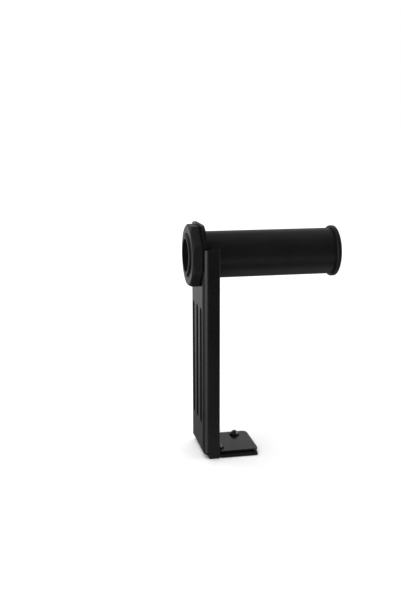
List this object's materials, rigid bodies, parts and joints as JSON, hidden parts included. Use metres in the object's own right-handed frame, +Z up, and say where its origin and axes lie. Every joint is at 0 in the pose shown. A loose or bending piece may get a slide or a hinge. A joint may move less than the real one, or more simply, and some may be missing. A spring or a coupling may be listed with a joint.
{
  "type": "spool holder stand",
  "caption": "Upright bracket of bent sheet steel with a horizontal hollow axle that carries a filament spool, clamped through the bracket by a large octagonal nut.",
  "frame": {"origin": "on the mounting plane, midway between the two foot screws", "axes": "+X along the axle, from the nut to the free end; +Z up, the arm's length; +Y across the arm's width"},
  "size_m": [0.1018, 0.041, 0.1612],
  "materials": {
    "powder_coat": "fine-textured satin powder coat",
    "axle_plastic": "moulded, satin",
    "nut_plastic": "moulded, satin",
    "pad_plastic": "matt black",
    "washer_plastic": "matt black",
    "black_steel": "black oxide, slightly glossy"
  },
  "bodies": {
    "bracket": {"bracket": "powder_coat", "foot_pad": "pad_plastic", "foot_washers": "washer_plastic", "foot_screws": "black_steel"},
    "nut": {"clamp_nut": "nut_plastic"},
    "axle": {"spool_axle": "axle_plastic"}
  },
  "joints": [
    {"name": "nut_spin", "type": "hinge", "parent": "bracket", "child": "nut", "pos_m": [-0.0237, 0, 0.1344], "axis": [-1, 0, 0], "range_deg": [0, 900]},
    {"name": "axle_travel", "type": "slide", "parent": "bracket", "child": "axle", "axis": [1, 0, 0], "range_m": [0, 0.0076]}
  ],
  "couplings": [
    {"joint": "axle_travel", "follows": "nut_spin", "m_per_rad": 0.00047746}
  ]
}
